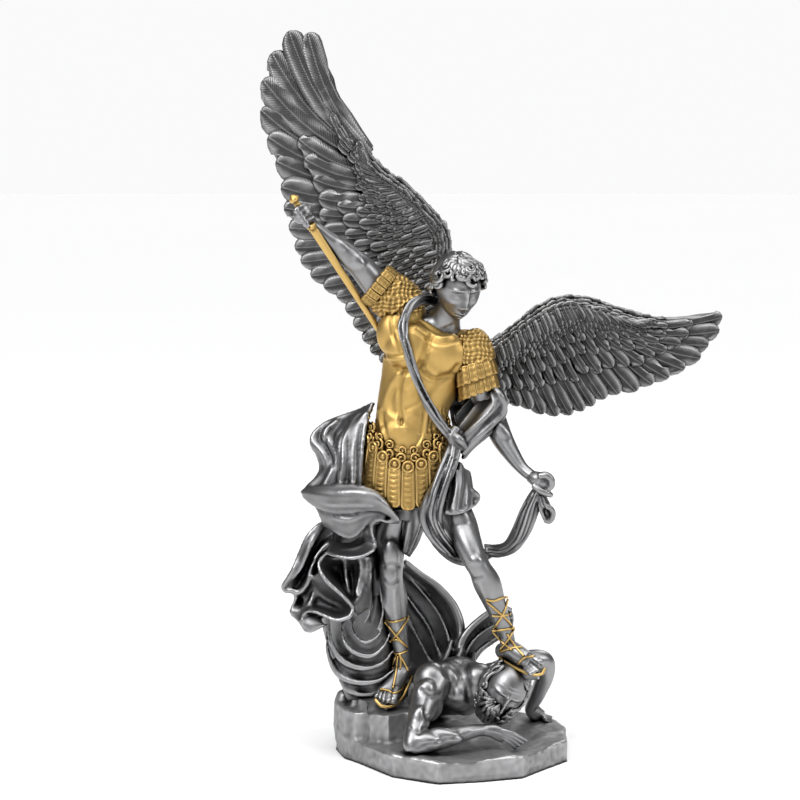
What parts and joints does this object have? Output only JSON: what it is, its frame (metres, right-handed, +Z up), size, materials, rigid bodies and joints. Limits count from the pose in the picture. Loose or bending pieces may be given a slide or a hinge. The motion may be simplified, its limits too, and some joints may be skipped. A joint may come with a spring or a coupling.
{
  "type": "winged archangel statue",
  "caption": "Cast figurine of a winged archangel in a gilded breastplate and billowing cloak, raising a sword and treading on a fallen bat-winged demon on a rock base.",
  "frame": {"origin": "middle of the rock slab's flat underside", "axes": "+Z up, -Y the way the statue faces, +X to the viewer's right"},
  "size_m": [0.2412, 0.107, 0.3731],
  "materials": {
    "pewter": "antique pewter paint over cast resin: dark wash in the hollows, rubbed bright on the ridges",
    "wing_pewter": "darkened antique pewter paint, dry-brushed lighter on the feather edges",
    "gold": "satin gold paint"
  },
  "bodies": {
    "root": {"statue": "pewter", "right_wing": "wing_pewter", "left_wing": "wing_pewter", "sword": "gold"}
  },
  "joints": []
}
